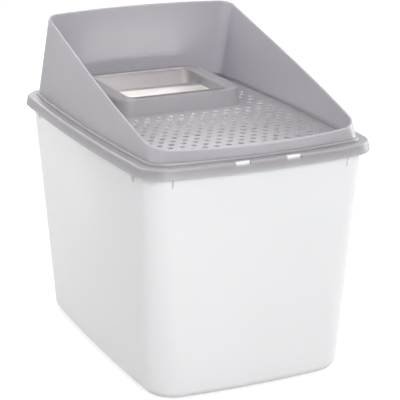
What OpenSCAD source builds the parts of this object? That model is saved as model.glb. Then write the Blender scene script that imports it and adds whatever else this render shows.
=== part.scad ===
// Top entry litter box: a deep tub, a perforated step lid with a raised hatch, and a slanted guard hood.
// Millimetres. X is the width, the low front faces -Y, and the tub stands on Z = 0.

/* [Tub] */
// Straight half width of the tub at the floor, before the walls bow out
tub_floor_a = 160; // [150:1:168]
// Straight half length of the tub at the floor
tub_floor_b = 234; // [220:1:244]
// Straight half width of the tub under the rim
tub_rim_a = 177.5; // [174:0.5:178]
// Straight half length of the tub under the rim
tub_rim_b = 255.5; // [250:0.5:256]
// Height of the tub's rim
tub_h = 368; // [340:1:380]
// Thickness of the tub's wall
tub_wall = 2.5; // [2:0.5:4]
// Radius where the tub's walls turn into its floor
tub_fillet = 16; // [8:1:24]

/* [Lid] */
// Straight half width of the lid's skirt at its lower edge
skirt_a = 190.5; // [189:0.5:194]
// Straight half length of the lid's skirt at its lower edge
skirt_b = 268.5; // [267:0.5:272]
// Corner radius of the lid's skirt
skirt_r = 39; // [34:1:44]
// Depth of the skirt, from the deck's top down
skirt_h = 16; // [12:1:20]
// Thickness of the lid's deck
deck_t = 3; // [2.5:0.5:4]
// Diameter of the holes in the deck
hole_d = 9.5; // [6:0.5:12]
// Spacing of the holes along a row
hole_pitch = 19.5; // [18:0.5:24]
// Spacing from one row of holes to the next
row_pitch = 17.3; // [15:0.1:20]

/* [Hatch] */
// Half width of the entry hatch
hatch_a = 86; // [70:1:95]
// Half length of the entry hatch
hatch_b = 85; // [70:1:88]
// Height of the collar above the deck
collar_h = 29; // [20:1:40]
// Half width of the collar at its foot
collar_a = 114; // [110:1:120]
// Half length of the collar at its foot
collar_b = 99; // [97:1:102]
// Distance from the middle of the deck back to the collar's centre
collar_y = 123; // [118:1:124]

/* [Hood] */
// Height of the hood's low front lip above the deck
lip_h = 18; // [15:0.5:30]
// Height of the hood's back wall above the deck
back_h = 143.5; // [110:0.5:170]
// Thickness of the hood's wall
hood_wall = 3; // [2:0.5:3]
// Straight half width of the hood at the height of its back edge
hood_top_a = 167; // [160:1:171]
// Where the back wall ends at its top, behind the middle
hood_top_back = 195.5; // [190:0.5:230]
// Where the front wall would end at that height, ahead of the middle
hood_top_front = 250; // [225:1:255]

/* [Hidden] */
lid_grey = [0.68, 0.66, 0.68];
tub_white = [0.94, 0.94, 0.95];

// Plan curve: straight half sizes a and b, corner radius r, and how far the side and the end walls bow out
corner_steps = 10;
side_steps = 12;
bow_floor = [7, 9];
bow_rim = [9.5, 17.5];
tub_floor_r = 42;
tub_rim_r = 26;
bow_hood = [0, 12];
hood_top_r = [20, 110];
no_bow = [0, 0];

gap = 0.3;
deck_z = tub_h + 7;
skirt_z = deck_z - skirt_h;
skirt_wall = 2.4;

rim_out = 7;
rim_t = 3;
rim_lip = 8;
foot_h = 3;
foot_in = tub_fillet + 10;
floor_t = 2.5;

window_x = 41;
window_w = 23.4;
window_drop = 5;
window_in = 10.5;
lug_w = window_w - 2 * gap;
lug_proud = 0.8;
lug_in = skirt_a - tub_rim_a - rim_out - lug_proud;

gusset_t = 2.2;
gusset_h = 24;
gusset_x = 142;
gusset_y = 203;

ring_in = 17.5;
ring_t = 2.5;
ring_h = 16;
deck_rib_t = 2.2;
deck_rib_h = 10;

hood_in = 21;
step_in = 18;
step_h = 3.3;
step_round = 0.8;
upstand_in = hood_in + hood_wall + 2 * gap;
upstand_t = 2;
upstand_h = step_h;

tab_w = 20;
tab_t = 2;
tab_drop = 9;
tab_clear = 0.6;
tab_places = [[-1, -150], [-1, 0], [-1, 150], [1, -150], [1, 0], [1, 150]];
end_tab_places = [[-1, -95], [-1, 95], [1, -95], [1, 95]];

hatch_y = 121;
hatch_r = 14;
collar_r = 32;
collar_wall = 3;
collar_draft = 3;
collar_round = 5;
flange_t = 3;
leg_h = 11;
leg_t = 2.5;

first_row = -240.2;
last_row = 210;
last_column = 15;
hole_margin = 9;

// Points of a rounded rectangle about the origin, corner by corner, with points along its sides too.
// Its corner radius may be a pair: the back corners' and the front corners'
function radius_at(r, quarter) = is_list(r) ? r[quarter < 2 ? 0 : 1] : r;
function corner_points(a, b, corner_r, quarter) = [for (i = [0:corner_steps])
    let (t = 90 * (quarter + i / corner_steps),
         r = radius_at(corner_r, quarter),
         sx = quarter == 0 || quarter == 3 ? 1 : -1,
         sy = quarter < 2 ? 1 : -1)
    [sx * (a - r) + r * cos(t), sy * (b - r) + r * sin(t)]];
function between(p, q) = [for (i = [1:side_steps - 1]) p + (q - p) * i / side_steps];
function rounded(a, b, r) = [for (quarter = [0:3])
    let (here = corner_points(a, b, r, quarter),
         next = corner_points(a, b, r, (quarter + 1) % 4))
    each concat(here, between(here[corner_steps], next[0]))];

// The same outline with its sides bowed outward, most at the middle of each
function bowed(p, a, b, bow) = [p.x + bow.x * (1 - pow(p.y / b, 2)) * p.x / a,
                                p.y + bow.y * (1 - pow(p.x / a, 2)) * p.y / b];
function plan(a, b, r, bow) = [for (p = rounded(a, b, r)) bowed(p, a, b, bow)];
function at_height(outline, z) = [for (p = outline) [p.x, p.y, z]];
function moved(outline, y) = [for (p = outline) [p.x, p.y + y]];

// The skirt's outline drawn in by a distance, and the tub's outline at a height, drawn in likewise
function lid_plan(inset) = plan(skirt_a - inset, skirt_b - inset, skirt_r - inset, bow_rim);
function mix(low, high, t) = low + (high - low) * t;
function tub_plan(z, inset) = let (t = z / skirt_z)
    plan(mix(tub_floor_a, tub_rim_a, t) - inset, mix(tub_floor_b, tub_rim_b, t) - inset,
         mix(tub_floor_r, tub_rim_r, t) - inset, mix(bow_floor, bow_rim, t));

// Faces between two neighbouring rings of n points
function band(low, high, n) = [for (i = [0:n - 1])
    let (j = (i + 1) % n)
    each [[low * n + i, high * n + i, high * n + j], [low * n + i, high * n + j, low * n + j]]];

// A tube-like solid whose section closes on itself
module closed_loft(rings) {
    n = len(rings[0]);
    count = len(rings);
    polyhedron(points = [for (ring = rings) each ring],
               faces = [for (k = [0:count - 1]) each band(k, (k + 1) % count, n)]);
}

// A cup-like solid: the first and the last ring are closed flat
module capped_loft(rings) {
    n = len(rings[0]);
    last = len(rings) - 1;
    polyhedron(points = [for (ring = rings) each ring],
               faces = concat([[for (i = [0:n - 1]) i]],
                              [for (k = [0:last - 1]) each band(k, k + 1, n)],
                              [[for (i = [n - 1:-1:0]) last * n + i]]));
}

// A ring that follows the lid's outline, with a rectangular section
module lid_ring(inset, thickness, bottom, top) {
    closed_loft([at_height(lid_plan(inset), bottom), at_height(lid_plan(inset), top),
                 at_height(lid_plan(inset + thickness), top), at_height(lid_plan(inset + thickness), bottom)]);
}

// Outer skin up from the floor's fillet to the rolled rim, then the inner skin back down
function fillet_rings(inset, base, radius, angles) = [for (t = angles)
    let (z = base + radius * (1 - cos(t)))
    at_height(tub_plan(z, inset + radius * (1 - sin(t))), z)];

module tub_shell() {
    inner_fillet = tub_fillet - tub_wall;
    floor_z = foot_h + floor_t;
    lip_z = tub_h - rim_lip;
    capped_loft(concat(
        [at_height(tub_plan(0, foot_in + foot_h), foot_h), at_height(tub_plan(0, foot_in), 0)],
        fillet_rings(0, 0, tub_fillet, [0, 22.5, 45, 67.5, 90]),
        [at_height(tub_plan(tub_h - rim_t, 0), tub_h - rim_t),
         at_height(tub_plan(tub_h, rim_t - rim_out), tub_h - rim_t),
         at_height(tub_plan(tub_h, rim_t - rim_out), lip_z),
         at_height(tub_plan(tub_h, -rim_out), lip_z),
         at_height(tub_plan(tub_h, -rim_out), tub_h - rim_t / 2),
         at_height(tub_plan(tub_h, rim_t / 2 - rim_out), tub_h),
         at_height(tub_plan(tub_h, tub_wall / 2), tub_h),
         at_height(tub_plan(tub_h, tub_wall), tub_h - rim_t / 2)],
        fillet_rings(tub_wall, floor_z, inner_fillet, [90, 60, 30, 0])));
}

// Thin fin between the tub's wall and its rolled rim, full width at the rim's lip and tapering below it
module gusset() {
    lip_drop = rim_t - rim_lip;
    under_rim = rim_t - rim_out;
    translate([gusset_t / 2, 0, 0])
        rotate([0, -90, 0])
            linear_extrude(gusset_t)
                polygon([[0, tub_wall / 2], [0, under_rim - 0.5], [lip_drop, under_rim - 0.5],
                         [lip_drop, gap - rim_out], [-gusset_h, -0.5], [-gusset_h, tub_wall / 2]]);
}

// How far the walls stand out at a place along an end or along a side, from the outline's straight half size
function end_reach(x, a, b, bow) = b + bow.y * (1 - pow(x / a, 2));
function side_reach(y, a, b, bow) = a + bow.x * (1 - pow(y / b, 2));

module gussets() {
    z = tub_h - rim_t;
    for (sx = [-1, 1], sy = [-1, 1]) {
        translate([sx * gusset_x, sy * end_reach(gusset_x, tub_rim_a, tub_rim_b, bow_rim), z])
            rotate([0, 0, sy > 0 ? 180 : 0]) gusset();
        translate([sx * side_reach(gusset_y, tub_rim_a, tub_rim_b, bow_rim), sy * gusset_y, z])
            rotate([0, 0, sx > 0 ? 90 : -90]) gusset();
    }
}

// Blocks on the rim that stand in the lid's windows
module lugs() {
    depth = window_in - lug_in - 3 * gap;
    reach = end_reach(window_x + window_w / 2, skirt_a, skirt_b, bow_rim) - lug_in;
    for (sx = [-1, 1], sy = [-1, 1])
        translate([sx * window_x - lug_w / 2, sy > 0 ? reach - depth : -reach, tub_h - rim_t])
            cube([lug_w, depth, deck_z - tub_h + rim_t - gap]);
}

module tub() {
    color(tub_white) {
        tub_shell();
        gussets();
        lugs();
    }
}

// Hole centres: rows staggered by half a spacing, kept off the collar's foot
function beside_collar(x, y) = abs(x) > collar_a + hole_margin
    || y < collar_y - collar_b - hole_margin
    || y > collar_y + collar_b + hole_margin;
hole_centres = [for (row = [0:floor((last_row - first_row) / row_pitch)], k = [-last_column:last_column])
    let (x = k * hole_pitch / 2, y = first_row + row * row_pitch)
    if ((k + row) % 2 != 0 && beside_collar(x, y)) [x, y]];

module deck() {
    translate([0, 0, deck_z - deck_t])
        linear_extrude(deck_t)
            difference() {
                polygon(lid_plan(window_in + 1));
                polygon(moved(plan(collar_a - collar_wall / 2, collar_b - collar_wall / 2,
                                   collar_r - collar_wall / 2, no_bow), collar_y));
                for (c = hole_centres) translate(c) circle(d = hole_d, $fn = 32);
                hood_tab_places() square([tab_w + 2 * tab_clear, tab_t + 2 * tab_clear], center = true);
            }
}

// Skirt that hangs over the tub's rim, with a softened upper edge
module skirt() {
    closed_loft([
        at_height(lid_plan(0), skirt_z),
        at_height(lid_plan(2.4), deck_z - 4),
        at_height(lid_plan(3.2), deck_z - 1.6),
        at_height(lid_plan(4.8), deck_z - 0.4),
        at_height(lid_plan(7), deck_z),
        at_height(lid_plan(window_in + 2), deck_z),
        at_height(lid_plan(window_in + 2), deck_z - deck_t),
        at_height(lid_plan(2.8 + skirt_wall), deck_z - deck_t),
        at_height(lid_plan(2.2 + skirt_wall), deck_z - 5),
        at_height(lid_plan(skirt_wall), skirt_z)]);
}

// Raised collar: outer wall, rounded top flange, and a short inner leg that bounds the hatch
module collar() {
    top = deck_z + collar_h;
    outer_a = collar_a - collar_draft;
    outer_b = collar_b - collar_draft;
    outer_r = collar_r - collar_draft;
    closed_loft([
        for (s = [[0, deck_z - deck_t], [collar_draft, top - collar_round],
                  [collar_draft + 1.2, top - 2], [collar_draft + 3.6, top]])
            at_height(moved(plan(collar_a - s[0], collar_b - s[0], collar_r - s[0], no_bow), collar_y), s[1]),
        for (s = [[2.5, top], [0.4, top - 1.2], [0, top - 4], [0, top - leg_h],
                  [leg_t, top - leg_h], [leg_t, top - flange_t]])
            at_height(moved(plan(hatch_a + s[0], hatch_b + s[0], hatch_r + s[0], no_bow), hatch_y), s[1]),
        for (s = [[collar_wall + 1.6, top - flange_t], [collar_wall, top - collar_round - 1],
                  [collar_wall - collar_draft, deck_z - deck_t]])
            at_height(moved(plan(outer_a - s[0], outer_b - s[0], outer_r - s[0], no_bow), collar_y), s[1])]);
}

// Ribs under the deck, each between two rows of holes ahead of the hatch
module deck_ribs() {
    intersection() {
        translate([0, 0, deck_z - deck_t - deck_rib_h])
            linear_extrude(deck_rib_h + deck_t / 2)
                polygon(lid_plan(ring_in + ring_t / 2));
        for (row = [3.5, 7.5, 11.5])
            translate([-skirt_a, first_row + row * row_pitch - deck_rib_t / 2, deck_z - deck_t - deck_rib_h])
                cube([2 * skirt_a, deck_rib_t, deck_rib_h + deck_t / 2]);
    }
}

// Openings in the skirt's upper edge, through which the tub's lugs show
module windows() {
    reach = end_reach(window_x, skirt_a, skirt_b, bow_rim);
    for (sx = [-1, 1], sy = [-1, 1])
        translate([sx * window_x - window_w / 2, sy > 0 ? reach - window_in : -reach - 2, deck_z - window_drop])
            cube([window_w, window_in + 2, window_drop + 2]);
}

module step_lid() {
    color(lid_grey)
        difference() {
            union() {
                skirt();
                deck();
                collar();
                deck_ribs();
                lid_ring(ring_in, ring_t, deck_z - deck_t - ring_h, deck_z - deck_t / 2);
                lid_ring(upstand_in, upstand_t, deck_z - deck_t / 2, deck_z + upstand_h);
            }
            windows();
        }
}

// Places the child at each tab, turned to lie along the wall there, with the wall's middle as its centre
module hood_tab_places() {
    a = skirt_a - hood_in - hood_wall / 2;
    b = skirt_b - hood_in - hood_wall / 2;
    for (p = tab_places)
        translate([p[0] * side_reach(p[1], a, b, bow_rim), p[1]])
            rotate(90 + p[0] * atan(2 * bow_rim.x * p[1] / (b * b))) children();
    for (p = end_tab_places)
        translate([p[1], p[0] * end_reach(p[1], a, b, bow_rim)])
            rotate(-p[0] * atan(2 * bow_rim.y * p[1] / (a * a))) children();
}

// The hood's rim lies in a plane that climbs from the front lip to the back edge
hood_base_z = deck_z + gap + step_h;
hood_top_z = deck_z + back_h;
lip_z = deck_z + lip_h;
top_mid = (hood_top_back - hood_top_front) / 2;
top_half = (hood_top_back + hood_top_front) / 2;
front_y = -(skirt_b - hood_in + bow_rim.y);
back_y = hood_top_back + bow_hood.y;
rim_slope = (hood_top_z - lip_z) / (back_y - front_y);

function hood_top_plan(inset) =
    moved(plan(hood_top_a - inset, top_half - inset, [for (r = hood_top_r) r - inset], bow_hood), top_mid);

// Ring of the hood's wall that lies a drop below the rim's plane, drawn in by an inset
function rim_ring(inset, drop) =
    let (low = lid_plan(hood_in + inset), high = hood_top_plan(inset), rise = hood_top_z - hood_base_z)
    [for (i = [0:len(low) - 1])
        let (d = high[i] - low[i],
             s = (lip_z + rim_slope * (low[i].y - front_y) - drop - hood_base_z) / (rise - rim_slope * d.y))
        [low[i].x + d.x * s, low[i].y + d.y * s, hood_base_z + rise * s]];

module hood_wall_shell() {
    foot_z = deck_z + gap;
    closed_loft([
        at_height(lid_plan(step_in), foot_z),
        at_height(lid_plan(step_in), foot_z + step_h - 3 * step_round),
        at_height(lid_plan(step_in + step_round), foot_z + step_h - step_round),
        at_height(lid_plan(hood_in), hood_base_z),
        rim_ring(0, 1.4),
        rim_ring(0.4, 0.4),
        rim_ring(hood_wall / 2, 0),
        rim_ring(hood_wall - 0.4, 0.4),
        rim_ring(hood_wall, 1.4),
        at_height(lid_plan(hood_in + hood_wall), hood_base_z),
        at_height(lid_plan(hood_in + hood_wall), foot_z)]);
}

module guard_hood() {
    color(lid_grey) {
        hood_wall_shell();
        translate([0, 0, deck_z - tab_drop])
            linear_extrude(tab_drop + step_h)
                hood_tab_places() square([tab_w, tab_t], center = true);
    }
}

tub();
step_lid();
guard_hood();
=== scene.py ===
import math

import bmesh
import bpy
from mathutils import Matrix, Vector


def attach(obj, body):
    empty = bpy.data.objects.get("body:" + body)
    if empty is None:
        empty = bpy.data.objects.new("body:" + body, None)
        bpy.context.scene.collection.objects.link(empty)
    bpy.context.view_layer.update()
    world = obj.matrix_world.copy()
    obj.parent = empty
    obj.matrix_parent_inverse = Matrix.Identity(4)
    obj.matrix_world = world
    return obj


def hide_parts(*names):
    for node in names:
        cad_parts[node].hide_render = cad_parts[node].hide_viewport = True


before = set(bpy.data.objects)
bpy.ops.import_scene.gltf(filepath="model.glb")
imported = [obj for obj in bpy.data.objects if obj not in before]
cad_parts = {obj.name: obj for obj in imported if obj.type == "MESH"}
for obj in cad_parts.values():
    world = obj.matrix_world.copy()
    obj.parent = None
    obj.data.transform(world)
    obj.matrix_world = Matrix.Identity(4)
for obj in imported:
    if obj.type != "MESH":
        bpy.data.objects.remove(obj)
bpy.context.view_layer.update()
mm = 0.001  # pieces are modelled in millimetres and scaled once, in addPiece
print("frame loaded")

# Outlines. Every part of the box follows one kind of curve: a rounded rectangle whose sides bow outward

outlineSteps = {"corner": 16, "side": 20}
stations = [(quarter, turn / outlineSteps["corner"], 0)
            if turn <= outlineSteps["corner"] else
            (quarter, 1, (turn - outlineSteps["corner"]) / outlineSteps["side"])
            for quarter in range(4)
            for turn in range(outlineSteps["corner"] + outlineSteps["side"])]


def cornerPoint(a, b, corners, quarter, turn):
    r = corners[quarter // 2] if isinstance(corners, tuple) else corners  # a pair is back, front
    angle = math.radians(90 * (quarter + turn))
    sideX = 1 if quarter in (0, 3) else -1
    sideY = 1 if quarter < 2 else -1
    return Vector((sideX * (a - r) + r * math.cos(angle), sideY * (b - r) + r * math.sin(angle)))


def outlinePoint(shape, place):
    a, b, r, bow = shape["a"], shape["b"], shape["r"], shape["bow"]
    quarter, turn, along = stations[place]
    p = cornerPoint(a, b, r, quarter, turn)
    if along:
        p = p.lerp(cornerPoint(a, b, r, (quarter + 1) % 4, 0), along)
    x = p.x + bow[0] * (1 - (p.y / b) ** 2) * p.x / a
    y = p.y + bow[1] * (1 - (p.x / a) ** 2) * p.y / b + shape.get("shift", 0)
    return Vector((x, y))


def drawnIn(shape, inset):
    r = shape["r"]
    r = tuple(radius - inset for radius in r) if isinstance(r, tuple) else r - inset
    return {**shape, "a": shape["a"] - inset, "b": shape["b"] - inset, "r": r}


def endReach(shape, x):
    return shape["b"] + shape["bow"][1] * (1 - (x / shape["a"]) ** 2)


def sideReach(shape, y):
    return shape["a"] + shape["bow"][0] * (1 - (y / shape["b"]) ** 2)


# Sections. A section is a list of (inset, height, radius); its corners become arcs with flats beside them

def rounded(section, closed=False, arcSteps=6):
    points = []
    count = len(section)
    for i, (x, y, radius) in enumerate(section):
        p = Vector((x, y))
        if not radius or (not closed and i in (0, count - 1)):
            points.append(p)
            continue
        before = Vector(section[i - 1][:2]) - p
        after = Vector(section[(i + 1) % count][:2]) - p
        half = before.angle(after) / 2
        reach = radius / math.tan(half)
        centre = p + (before.normalized() + after.normalized()).normalized() * radius / math.sin(half)
        start = p + before.normalized() * reach - centre
        end = p + after.normalized() * reach - centre
        points.append(p + before.normalized() * min(reach * 1.4, (reach + before.length) / 2))
        for step in range(arcSteps + 1):
            share = step / arcSteps
            spread = start.angle(end)
            bend = start * math.sin((1 - share) * spread) + end * math.sin(share * spread)
            points.append(centre + bend / math.sin(spread))
        points.append(p + after.normalized() * min(reach * 1.4, (reach + after.length) / 2))
    return points


def newBmesh():
    bm = bmesh.new()
    bm.verts.layers.int.new("place")
    return bm


def startRing(bm, pointAt):
    place = bm.verts.layers.int["place"]
    verts = bmesh.ops.create_circle(bm, segments=len(stations), radius=1)["verts"]
    for k, v in enumerate(verts):
        v[place] = k
        v.co = pointAt(k)
    return list({e for v in verts for e in v.link_edges})


def growRing(bm, edges, pointAt):
    place = bm.verts.layers.int["place"]
    grown = bmesh.ops.extrude_edge_only(bm, edges=edges)["geom"]
    for v in grown:
        if isinstance(v, bmesh.types.BMVert):
            v.co = pointAt(v[place])
    return [e for e in grown if isinstance(e, bmesh.types.BMEdge) and e.is_boundary]


def at(shape, z):
    return lambda k: outlinePoint(shape, k).to_3d() + Vector((0, 0, z))


# Lofts a wall through the rings; a closed one ends on its first ring
def loft(bm, rings, closed=False):
    first = edges = startRing(bm, rings[0])
    for ring in rings[1:] + (rings[:1] if closed else []):
        edges = growRing(bm, edges, ring)
    return first, edges


def addPiece(name, bm, material, body, sharpAngle=35):
    bmesh.ops.remove_doubles(bm, verts=bm.verts, dist=0.01)
    bmesh.ops.recalc_face_normals(bm, faces=bm.faces)
    bmesh.ops.scale(bm, vec=(mm, mm, mm), verts=bm.verts)
    mesh = bpy.data.meshes.new(name)
    bm.to_mesh(mesh)
    bm.free()
    mesh.shade_smooth()
    mesh.set_sharp_from_angle(angle=math.radians(sharpAngle))
    piece = bpy.data.objects.new(name, mesh)
    bpy.context.scene.collection.objects.link(piece)
    mesh.materials.append(material)
    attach(piece, body)
    return piece


# Materials

def makePlastic(name, look):
    material = bpy.data.materials.new(name)
    material.use_nodes = True
    nodes, links = material.node_tree.nodes, material.node_tree.links
    shader = nodes["Principled BSDF"]
    place = nodes.new("ShaderNodeTexCoord").outputs["Object"]

    def noise(scale, detail, stretch=(1, 1, 1)):
        mapping = nodes.new("ShaderNodeMapping")
        mapping.inputs["Scale"].default_value = stretch
        links.new(place, mapping.inputs["Vector"])
        texture = nodes.new("ShaderNodeTexNoise")
        texture.inputs["Scale"].default_value = scale
        texture.inputs["Detail"].default_value = detail
        links.new(mapping.outputs["Vector"], texture.inputs["Vector"])
        return texture.outputs["Fac"]

    def between(value, low, high):
        node = nodes.new("ShaderNodeMapRange")
        node.inputs["From Min"].default_value = 0.3
        node.inputs["From Max"].default_value = 0.7
        node.inputs["To Min"].default_value = low
        node.inputs["To Max"].default_value = high
        links.new(value, node.inputs["Value"])
        return node.outputs["Result"]

    mix = nodes.new("ShaderNodeMix")  # faint cloudiness where the melt flowed
    mix.data_type = "RGBA"
    mix.inputs["A"].default_value = (*look["colour"], 1)
    mix.inputs["B"].default_value = (*look["flowColour"], 1)
    links.new(between(noise(9, 3, (1, 1, 0.5)), 0, 1), mix.inputs["Factor"])
    links.new(mix.outputs["Result"], shader.inputs["Base Color"])
    links.new(between(noise(look["smudgeScale"], 4), *look["roughness"]), shader.inputs["Roughness"])
    peel = nodes.new("ShaderNodeBump")  # the fine ripple of a moulded skin
    peel.inputs["Strength"].default_value = look["peel"]
    peel.inputs["Distance"].default_value = 0.1 * mm
    links.new(noise(look["peelScale"], 2), peel.inputs["Height"])
    links.new(peel.outputs["Normal"], shader.inputs["Normal"])
    shader.inputs["IOR"].default_value = 1.49
    shader.inputs["Specular IOR Level"].default_value = look["specular"]
    shader.inputs["Subsurface Weight"].default_value = look["glow"]
    shader.inputs["Subsurface Radius"].default_value = look["glowTint"]
    shader.inputs["Subsurface Scale"].default_value = look["glowDepth"]
    return material


whitePlastic = {"colour": (0.90, 0.897, 0.912), "flowColour": (0.89, 0.887, 0.902), "roughness": (0.32, 0.36),
                "smudgeScale": 14, "peel": 0.2, "peelScale": 900, "specular": 0.5,
                "glow": 1.0, "glowDepth": 0.006, "glowTint": (1, 0.95, 0.9)}
greyPlastic = {"colour": (0.37, 0.354, 0.378), "flowColour": (0.365, 0.35, 0.373), "roughness": (0.33, 0.37),
               "smudgeScale": 18, "peel": 0.2, "peelScale": 900, "specular": 0.5,
               "glow": 1.0, "glowDepth": 0.014, "glowTint": (0.95, 0.95, 1)}
tubMaterial = makePlastic("whitePolypropylene", whitePlastic)
lidMaterial = makePlastic("greyPolypropylene", greyPlastic)
print("materials made")

# Tub: floor with a foot ring, tapered walls, rolled rim

tub = {"floor": {"a": 160, "b": 234, "r": 42, "bow": (7, 9)},
       "rim": {"a": 177.5, "b": 255.5, "r": 26, "bow": (9.5, 17.5)},
       "rimAt": 359, "height": 368, "wall": 2.5, "fillet": 16, "rimOut": 7, "rimThick": 3, "rimLip": 8,
       "foot": 3, "floorThick": 2.5,
       "floorSeam": 40,  # must stay under the floor's corner radius of 42, or the outline crosses itself
       "gusset": {"thick": 2.2, "height": 24, "x": 142, "y": 203},
       "lug": {"x": 41, "width": 23.1, "depth": 4.4, "in": 5.2}}


def tubOutline(z, inset=0):
    share = z / tub["rimAt"]
    low, high = tub["floor"], tub["rim"]
    mixed = {key: low[key] + (high[key] - low[key]) * share for key in ("a", "b", "r")}
    mixed["bow"] = [p + (q - p) * share for p, q in zip(low["bow"], high["bow"])]
    return drawnIn(mixed, inset)


def makeTub():
    top, out, thick = tub["height"], tub["rimOut"], tub["rimThick"]
    footIn = tub["fillet"] + 10
    floorZ = tub["foot"] + tub["floorThick"]
    section = [(tub["floorSeam"], tub["foot"], 0), (footIn + 3, tub["foot"], 1), (footIn, 0, 1),
               (0, 0, tub["fillet"]), (0, top - thick, 0.6), (thick - out, top - thick, 0.5),
               (thick - out, top - tub["rimLip"], 0.4), (-out, top - tub["rimLip"], 0.6),
               (-out, top, 1.6), (tub["wall"], top, 1.4),
               (tub["wall"], floorZ, tub["fillet"] - tub["wall"]), (tub["floorSeam"], floorZ, 0)]
    bm = newBmesh()
    first, last = loft(bm, [at(tubOutline(p.y, p.x), p.y) for p in rounded(section)])
    for edges in (first, last):
        bmesh.ops.edgeloop_fill(bm, edges=edges)
    addPiece("tubShell", bm, tubMaterial, "tub")


def makeGussets():
    g = tub["gusset"]
    under, lipDrop = tub["rimThick"] - tub["rimOut"], tub["rimThick"] - tub["rimLip"]
    lipOut = tub["rimOut"] - 0.3
    z = tub["height"] - tub["rimThick"]
    bm = newBmesh()
    for sideX in (-1, 1):
        for sideY in (-1, 1):
            onEnd = Matrix.Translation((sideX * g["x"], sideY * endReach(tub["rim"], g["x"]), z))
            onSide = Matrix.Translation((sideX * sideReach(tub["rim"], g["y"]), sideY * g["y"], z))
            turnEnd = 0 if sideY > 0 else 180
            turnSide = -90 if sideX > 0 else 90
            for placed, turn in ((onEnd, turnEnd), (onSide, turnSide)):
                corners = [(0, -2, 0), (0, 0.5 - under, 0), (0, 0.5 - under, lipDrop), (0, lipOut, lipDrop),
                           (0, 0.5, -g["height"]), (0, -2, -g["height"])]
                verts = [bm.verts.new(Vector(c) - Vector((g["thick"] / 2, 0, 0))) for c in corners]
                face = bm.faces.new(verts)
                grown = bmesh.ops.extrude_face_region(bm, geom=[face])["geom"]
                other = [v for v in grown if isinstance(v, bmesh.types.BMVert)]
                bmesh.ops.translate(bm, vec=(g["thick"], 0, 0), verts=other)
                bmesh.ops.transform(bm, verts=verts + other,
                                    matrix=placed @ Matrix.Rotation(math.radians(turn), 4, "Z"))
    addPiece("tubGussets", bm, tubMaterial, "tub")


def makeLugs():
    lug = tub["lug"]
    reach = endReach(lid["skirt"], lug["x"] + lid["window"]["width"] / 2) - lug["in"]
    low, high = tub["height"] - tub["rimThick"], deckZ - 0.3
    bm = newBmesh()
    for sideX in (-1, 1):
        for sideY in (-1, 1):
            size = Vector((lug["width"], lug["depth"], high - low))
            middle = Vector((sideX * lug["x"], sideY * (reach - lug["depth"] / 2), (low + high) / 2))
            cube = bmesh.ops.create_cube(bm, size=1)["verts"]
            bmesh.ops.scale(bm, vec=size, verts=cube)
            bmesh.ops.translate(bm, vec=middle, verts=cube)
            edges = list({e for v in cube for e in v.link_edges})
            bmesh.ops.bevel(bm, geom=edges, offset=0.5, affect="EDGES", segments=3, profile=0.5, material=-1)
    addPiece("rimLugs", bm, tubMaterial, "tub")


# Step lid: skirt with windows, perforated deck with the raised collar of the hatch

lid = {"skirt": {"a": 190.5, "b": 268.5, "r": 39, "bow": (9.5, 17.5)},
       "skirtHeight": 16, "skirtWall": 2.4, "skirtLean": 3.2, "edgeRound": 4, "deckThick": 3,
       "seamAt": 20,
       "window": {"x": 41, "width": 23.4, "drop": 5, "depth": 10.5},
       "hole": {"width": 9.5, "pitch": 19.5, "rowPitch": 17.3, "firstRow": -240.2, "rows": 27,
                "columns": 15, "margin": 9, "chamfer": 0.5, "facets": 24},
       "collar": {"a": 114, "b": 99, "r": 32, "bow": (0, 0), "shift": 123},
       "collarHeight": 29, "collarDraft": 3, "collarWall": 3, "collarRound": 5,
       "hatch": {"a": 86, "b": 85, "r": 14, "bow": (0, 0), "shift": 121},
       "legHeight": 4, "legThick": 2.5,
       "slot": {"width": 21.2, "depth": 3.2},
       "downstand": {"in": 17.5, "thick": 2.5, "height": 16},
       "upstand": {"in": 24.12, "thick": 2, "height": 3.3},
       "rib": {"thick": 2.2, "height": 10, "rows": (3.5, 7.5, 11.5)}}
deckZ = tub["height"] + 7
skirtZ = deckZ - lid["skirtHeight"]
hood = {"gap": 0.05, "footFlare": 1.2, "wallIn": 21, "wall": 3, "stepIn": 18, "stepHeight": 3.3,
        "lip": 18, "back": 143.45, "topA": 167, "topR": (20, 110), "topBow": (0, 12),
        "topBack": 195.5, "topFront": 250,
        "tab": {"width": 20, "thick": 2, "drop": 9,
                "sides": (-150, 0, 150), "ends": (-95, 95)}}


def tabPlaces():
    wallLine = drawnIn(lid["skirt"], hood["wallIn"] + hood["wall"] / 2)
    a, b, bow = wallLine["a"], wallLine["b"], wallLine["bow"]
    placed = []
    for side in (-1, 1):
        for y in hood["tab"]["sides"]:
            turn = math.pi / 2 + side * math.atan(2 * bow[0] * y / b ** 2)
            middle = Matrix.Translation((side * sideReach(wallLine, y), y, 0))
            placed.append(middle @ Matrix.Rotation(turn, 4, "Z"))
        for x in hood["tab"]["ends"]:
            turn = -side * math.atan(2 * bow[1] * x / a ** 2)
            middle = Matrix.Translation((x, side * endReach(wallLine, x), 0))
            placed.append(middle @ Matrix.Rotation(turn, 4, "Z"))
    return placed


def makeSkirt():
    wall, lean, bottom = lid["skirtWall"], lid["skirtLean"], deckZ - lid["deckThick"]
    section = [(lid["seamAt"], bottom, 0), (wall + 2.7, bottom, 1.2), (wall, skirtZ, 0.7), (0, skirtZ, 0.9),
               (lean, deckZ, lid["edgeRound"]), (lid["seamAt"], deckZ, 0)]
    bm = newBmesh()
    loft(bm, [at(drawnIn(lid["skirt"], p.x), p.y) for p in rounded(section)], closed=True)
    skirt = addPiece("lidSkirt", bm, lidMaterial, "lid")
    cutWindows(skirt)


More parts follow.
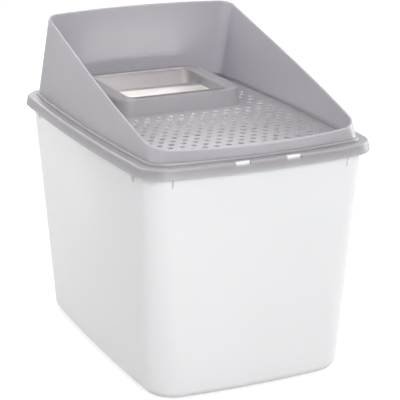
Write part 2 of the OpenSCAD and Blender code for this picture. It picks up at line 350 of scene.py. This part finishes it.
def cutWindows(skirt):
    window = lid["window"]
    reach = endReach(lid["skirt"], window["x"])
    bm = bmesh.new()
    for sideX in (-1, 1):
        for sideY in (-1, 1):
            cube = bmesh.ops.create_cube(bm, size=1)["verts"]
            bmesh.ops.scale(bm, vec=(window["width"], window["depth"] + 2, window["drop"] + 2), verts=cube)
            middle = (sideX * window["x"], sideY * (reach + 1 - window["depth"] / 2),
                      deckZ + 1 - window["drop"] / 2)
            bmesh.ops.translate(bm, vec=middle, verts=cube)
    bmesh.ops.scale(bm, vec=(mm, mm, mm), verts=bm.verts)
    mesh = bpy.data.meshes.new("windowCutter")
    bm.to_mesh(mesh)
    bm.free()
    cutter = bpy.data.objects.new("windowCutter", mesh)
    bpy.context.scene.collection.objects.link(cutter)
    cut = skirt.modifiers.new("windows", "BOOLEAN")
    cut.operation = "DIFFERENCE"
    cut.solver = "EXACT"
    cut.object = cutter
    bpy.context.view_layer.update()
    evaluated = skirt.evaluated_get(bpy.context.evaluated_depsgraph_get())
    done = bpy.data.meshes.new_from_object(evaluated)
    skirt.modifiers.clear()
    skirt.data = done
    bpy.data.objects.remove(cutter)


def holeCentres():
    hole, collar = lid["hole"], lid["collar"]
    centres = []
    for row in range(hole["rows"]):
        for k in range(-hole["columns"], hole["columns"] + 1):
            x, y = k * hole["pitch"] / 2, hole["firstRow"] + row * hole["rowPitch"]
            beside = abs(x) > collar["a"] + hole["margin"]
            beyond = abs(y - collar["shift"]) > collar["b"] + hole["margin"]
            if (k + row) % 2 and (beside or beyond):
                centres.append(Vector((x, y, deckZ)))
    return centres


def makeDeck():
    under = deckZ - lid["deckThick"]
    bm = newBmesh()
    top, bottom = loft(bm, [at(drawnIn(lid["skirt"], lid["seamAt"]), z) for z in (deckZ, under)])
    topLoops, bottomLoops = list(top), list(bottom)

    collar, hatch = lid["collar"], lid["hatch"]
    rimZ = deckZ + lid["collarHeight"]
    outer = [(-2.5, deckZ, 0), (0, deckZ, 1.4), (lid["collarDraft"], rimZ, lid["collarRound"]), (12, rimZ, 0)]
    thick, legZ = lid["legThick"], rimZ - lid["legHeight"]
    inner = [(7, rimZ, 0), (0, rimZ, 2.4), (0, legZ, 0.7), (thick, legZ, 0.7),
             (thick, rimZ - 3, 1.2), (7, rimZ - 3, 0)]
    hollow = [(12, rimZ - 3, 0), (lid["collarDraft"] + lid["collarWall"], rimZ - 3, 3),
              (lid["collarWall"], under, 0)]
    rings = [at(drawnIn(collar, p.x), p.y) for p in rounded(outer)]
    rings += [at(drawnIn(hatch, -p.x), p.y) for p in rounded(inner)]
    rings += [at(drawnIn(collar, p.x), p.y) for p in rounded(hollow)]
    foot, inside = loft(bm, rings)
    topLoops += foot
    bottomLoops += inside

    hole, place = lid["hole"], bm.verts.layers.int["place"]
    centres = holeCentres()
    edges = []
    radius = hole["width"] / 2
    for index, centre in enumerate(centres):
        verts = bmesh.ops.create_circle(bm, segments=hole["facets"], radius=radius + hole["chamfer"],
                                        matrix=Matrix.Translation(centre))["verts"]
        for v in verts:
            v[place] = index
        edges += list({e for v in verts for e in v.link_edges})
    topLoops += edges
    for ratio, drop in ((radius / (radius + hole["chamfer"]), hole["chamfer"]), (1, lid["deckThick"])):
        grown = bmesh.ops.extrude_edge_only(bm, edges=edges)["geom"]
        for v in grown:
            if isinstance(v, bmesh.types.BMVert):
                centre = centres[v[place]]
                v.co = Vector((centre.x + (v.co.x - centre.x) * ratio, centre.y + (v.co.y - centre.y) * ratio,
                               deckZ - drop))
        edges = [e for e in grown if isinstance(e, bmesh.types.BMEdge) and e.is_boundary]
    bottomLoops += edges

    slotEdges = []
    square = Matrix.Rotation(math.pi / 4, 4, "Z")
    size = Matrix.Diagonal((lid["slot"]["width"], lid["slot"]["depth"], 1, 1))
    for placed in tabPlaces():
        onDeck = Matrix.Translation((0, 0, deckZ)) @ placed @ size @ square
        verts = bmesh.ops.create_circle(bm, segments=4, radius=math.sqrt(0.5), matrix=onDeck)["verts"]
        slotEdges += list({e for v in verts for e in v.link_edges})
    topLoops += slotEdges
    grown = bmesh.ops.extrude_edge_only(bm, edges=slotEdges)["geom"]
    for v in grown:
        if isinstance(v, bmesh.types.BMVert):
            v.co.z = under
    bottomLoops += [e for e in grown if isinstance(e, bmesh.types.BMEdge) and e.is_boundary]

    for loops in (topLoops, bottomLoops):
        bmesh.ops.triangle_fill(bm, use_beauty=True, edges=loops)
    addPiece("lidDeck", bm, lidMaterial, "lid")


def makeLidRing(name, ring, low, high):
    section = [(ring["in"], low, 0.4), (ring["in"], high, 0.5), (ring["in"] + ring["thick"], high, 0.5),
               (ring["in"] + ring["thick"], low, 0.4)]
    bm = newBmesh()
    points = rounded(section, closed=True, arcSteps=3)
    loft(bm, [at(drawnIn(lid["skirt"], p.x), p.y) for p in points], closed=True)
    addPiece(name, bm, lidMaterial, "lid")


def makeDeckRibs():
    rib, hole = lid["rib"], lid["hole"]
    line = drawnIn(lid["skirt"], lid["downstand"]["in"] + lid["downstand"]["thick"] / 2)
    bm = newBmesh()
    for row in rib["rows"]:
        y = hole["firstRow"] + row * hole["rowPitch"]
        low, high = deckZ - lid["deckThick"] - rib["height"], deckZ - lid["deckThick"] / 2
        cube = bmesh.ops.create_cube(bm, size=1)["verts"]
        bmesh.ops.scale(bm, vec=(2 * sideReach(line, y), rib["thick"], high - low), verts=cube)
        bmesh.ops.translate(bm, vec=(0, y, (low + high) / 2), verts=cube)
        lower = [e for e in {e for v in cube for e in v.link_edges} if all(v.co.z < low + 1 for v in e.verts)]
        bmesh.ops.bevel(bm, geom=lower, offset=0.5, affect="EDGES", segments=3, profile=0.5, material=-1)
    addPiece("deckRibs", bm, lidMaterial, "lid")


# Guard hood: a leaning wall whose rim lies in one plane, from the low lip up to the back

baseZ = deckZ + hood["gap"] + hood["stepHeight"]
topZ = deckZ + hood["back"]
lipZ = deckZ + hood["lip"]
hoodTop = {"a": hood["topA"], "b": (hood["topBack"] + hood["topFront"]) / 2, "r": hood["topR"],
           "bow": hood["topBow"], "shift": (hood["topBack"] - hood["topFront"]) / 2}
frontY = -(lid["skirt"]["b"] - hood["wallIn"] + lid["skirt"]["bow"][1])
rimSlope = (topZ - lipZ) / (hood["topBack"] + hood["topBow"][1] - frontY)


def onWall(inset, height=None, drop=None):
    low, high = drawnIn(lid["skirt"], hood["wallIn"] + inset), drawnIn(hoodTop, inset)

    def pointAt(k):
        foot, top = outlinePoint(low, k), outlinePoint(high, k)
        rise, step = topZ - baseZ, top - foot
        if drop is None:
            share = (height - baseZ) / rise
        else:
            share = (lipZ + rimSlope * (foot.y - frontY) - drop - baseZ) / (rise - rimSlope * step.y)
        return (foot + step * share).to_3d() + Vector((0, 0, baseZ + rise * share))

    return pointAt


def makeHood():
    wall, step = hood["wall"], hood["wallIn"] - hood["stepIn"]
    footZ = deckZ + hood["gap"]
    section = [(wall, footZ, 0.4), (-step - hood["footFlare"], footZ, 0.1), (-step, baseZ, 1.3),
               (0, baseZ, 0.6), (0, baseZ + 4, 0)]
    rings = [at(drawnIn(lid["skirt"], hood["wallIn"] + p.x), p.y) for p in rounded(section)[1:-1]]
    rings = [at(drawnIn(lid["skirt"], hood["wallIn"] + wall), footZ)] + rings
    rings += [onWall(0, height=baseZ + h) for h in (2, 6)]
    rings += [onWall(0, drop=d) for d in (6, 2.4)]
    half, rimSteps = wall / 2, 8
    for k in range(rimSteps + 1):
        turn = math.pi * k / rimSteps
        rings.append(onWall(half - half * math.cos(turn), drop=half - half * math.sin(turn)))
    rings += [onWall(wall, drop=d) for d in (2.4, 6)]
    rings += [onWall(wall, height=baseZ + h) for h in (6, 2)]
    rings += [at(drawnIn(lid["skirt"], hood["wallIn"] + wall), baseZ)]
    bm = newBmesh()
    loft(bm, rings, closed=True)
    addPiece("hoodWall", bm, lidMaterial, "hood")


def makeTabs():
    tab = hood["tab"]
    low, high = deckZ - tab["drop"], baseZ - 0.6
    bm = newBmesh()
    for placed in tabPlaces():
        cube = bmesh.ops.create_cube(bm, size=1)["verts"]
        bmesh.ops.scale(bm, vec=(tab["width"], tab["thick"], high - low), verts=cube)
        bmesh.ops.transform(bm, verts=cube, matrix=Matrix.Translation((0, 0, (low + high) / 2)) @ placed)
        edges = list({e for v in cube for e in v.link_edges})
        bmesh.ops.bevel(bm, geom=edges, offset=0.5, affect="EDGES", segments=3, profile=0.5, material=-1)
    addPiece("hoodTabs", bm, lidMaterial, "hood")


makeTub()
makeGussets()
makeLugs()
print("tub made")
makeSkirt()
makeDeck()
midDeckZ = deckZ - lid["deckThick"] / 2
downstandZ = deckZ - lid["deckThick"] - lid["downstand"]["height"]
makeLidRing("lidDownstand", lid["downstand"], downstandZ, midDeckZ)
makeLidRing("lidUpstand", lid["upstand"], midDeckZ, deckZ + lid["upstand"]["height"])
makeDeckRibs()
print("lid made")
makeHood()
makeTabs()
print("hood made")
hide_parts("tub")
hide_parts("step_lid")
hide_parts("guard_hood")

# Camera, fitted to the outlines and the holes of the photograph

camera = {"azimuth": -24.51, "elevation": 17.35, "roll": -0.14, "place": (-1.00258, -2.22008, 0.9939),
          "focalPixels": 1574.16, "imagePixels": 400, "centre": (194.38, 199.9)}


def makeCamera():
    az, el, roll = (math.radians(camera[key]) for key in ("azimuth", "elevation", "roll"))
    back = Vector((math.sin(az) * math.cos(el), -math.cos(az) * math.cos(el), math.sin(el)))
    right = Vector((0, 0, 1)).cross(back).normalized()
    up = back.cross(right)
    right, up = right * math.cos(roll) + up * math.sin(roll), up * math.cos(roll) - right * math.sin(roll)
    turned = Matrix((right, up, back)).transposed().to_4x4()
    data = bpy.data.cameras.new("photoCamera")
    data.sensor_width = 36
    data.lens = 36 * camera["focalPixels"] / camera["imagePixels"]
    data.shift_x = 0.5 - camera["centre"][0] / camera["imagePixels"]
    data.shift_y = camera["centre"][1] / camera["imagePixels"] - 0.5
    data.clip_end = 50
    piece = bpy.data.objects.new("photoCamera", data)
    piece.matrix_world = Matrix.Translation(camera["place"]) @ turned
    bpy.context.scene.collection.objects.link(piece)
    bpy.context.scene.camera = piece


# Studio: pale floor, white surround, large soft lamps

studio = {"ambient": 0.46, "floorColour": 0.5, "floorGlow": 0.62, "floorSize": 6,
          "lamps": {"front": {"place": (-0.21, -2.96, 1.5), "size": (1.0, 1.0), "power": 53},
                    "left": {"place": (-2.38, 0.51, 1.88), "size": (1.2, 1.6), "power": 26},
                    "right": {"place": (2.7, 0.3, 0.9), "size": (1.2, 1.6), "power": 38},
                    "back": {"place": (0.48, 2.73, 1.9), "size": (2.2, 1.0), "power": 26},
                    "top": {"place": (0, -0.1, 2.9), "size": (1.6, 1.6), "power": 10},
                    # weak, inside the tub: without it the hatch shows far darker than in the photograph
                    "insideBounce": {"place": (0, -0.12, 0.25), "size": (0.25, 0.1), "power": 0.32,
                                     "toward": (0, 0.25, 0.34), "colour": (1, 0.95, 0.88), "spread": 110,
                                     "hidden": True}}}


def makeLamp(name, look):
    data = bpy.data.lights.new(name, "AREA")
    data.shape = "RECTANGLE"
    data.size, data.size_y = look["size"]
    data.energy = look["power"]
    data.color = look.get("colour", (1, 1, 1))
    data.spread = math.radians(look.get("spread", 180))
    lamp = bpy.data.objects.new(name, data)
    lamp.location = look["place"]
    lamp.rotation_mode = "QUATERNION"
    aim = Vector(look.get("toward", (0, 0, 0.25))) - Vector(look["place"])
    lamp.rotation_quaternion = aim.to_track_quat("-Z", "Y")
    lamp.visible_camera = not look.get("hidden")  # a hidden lamp doesn't show through the hatch
    bpy.context.scene.collection.objects.link(lamp)


def addMath(nodes, operation):
    node = nodes.new("ShaderNodeMath")
    node.operation = operation
    return node


def makeWorld():
    world = bpy.data.worlds.new("studioWorld")
    world.use_nodes = True
    bpy.context.scene.world = world
    nodes, links = world.node_tree.nodes, world.node_tree.links
    background = nodes["Background"]
    background.inputs["Color"].default_value = (1, 1, 1, 1)
    path = nodes.new("ShaderNodeLightPath")
    seen = addMath(nodes, "MAXIMUM")
    links.new(path.outputs["Is Camera Ray"], seen.inputs[0])
    links.new(path.outputs["Is Glossy Ray"], seen.inputs[1])
    seenOrThrough = addMath(nodes, "MAXIMUM")
    links.new(seen.outputs[0], seenOrThrough.inputs[0])
    links.new(path.outputs["Is Transmission Ray"], seenOrThrough.inputs[1])
    strength = nodes.new("ShaderNodeMapRange")
    strength.inputs["To Min"].default_value = studio["ambient"]
    strength.inputs["To Max"].default_value = 1
    links.new(seenOrThrough.outputs[0], strength.inputs["Value"])
    links.new(strength.outputs["Result"], background.inputs["Strength"])


def makeFloor():
    bm = bmesh.new()
    bmesh.ops.create_grid(bm, x_segments=1, y_segments=1, size=studio["floorSize"])
    mesh = bpy.data.meshes.new("studioFloor")
    bm.to_mesh(mesh)
    bm.free()
    floor = bpy.data.objects.new("studioFloor", mesh)
    bpy.context.scene.collection.objects.link(floor)
    material = bpy.data.materials.new("paleFloor")
    material.use_nodes = True
    nodes, links = material.node_tree.nodes, material.node_tree.links
    nodes.remove(nodes["Principled BSDF"])
    diffuse = nodes.new("ShaderNodeBsdfDiffuse")
    diffuse.inputs["Color"].default_value = (*[studio["floorColour"]] * 3, 1)
    glow = nodes.new("ShaderNodeEmission")
    path = nodes.new("ShaderNodeLightPath")
    seen = addMath(nodes, "MAXIMUM")
    links.new(path.outputs["Is Camera Ray"], seen.inputs[0])
    links.new(path.outputs["Is Glossy Ray"], seen.inputs[1])
    strength = nodes.new("ShaderNodeMapRange")
    strength.inputs["To Min"].default_value = 0
    strength.inputs["To Max"].default_value = studio["floorGlow"]
    links.new(seen.outputs[0], strength.inputs["Value"])
    links.new(strength.outputs["Result"], glow.inputs["Strength"])
    both = nodes.new("ShaderNodeAddShader")
    links.new(diffuse.outputs[0], both.inputs[0])
    links.new(glow.outputs[0], both.inputs[1])
    links.new(both.outputs[0], nodes["Material Output"].inputs["Surface"])
    mesh.materials.append(material)


makeCamera()
for lampName, lampLook in studio["lamps"].items():
    makeLamp(lampName, lampLook)
makeWorld()
makeFloor()
bpy.context.scene.view_settings.view_transform = "Standard"
print("studio made")
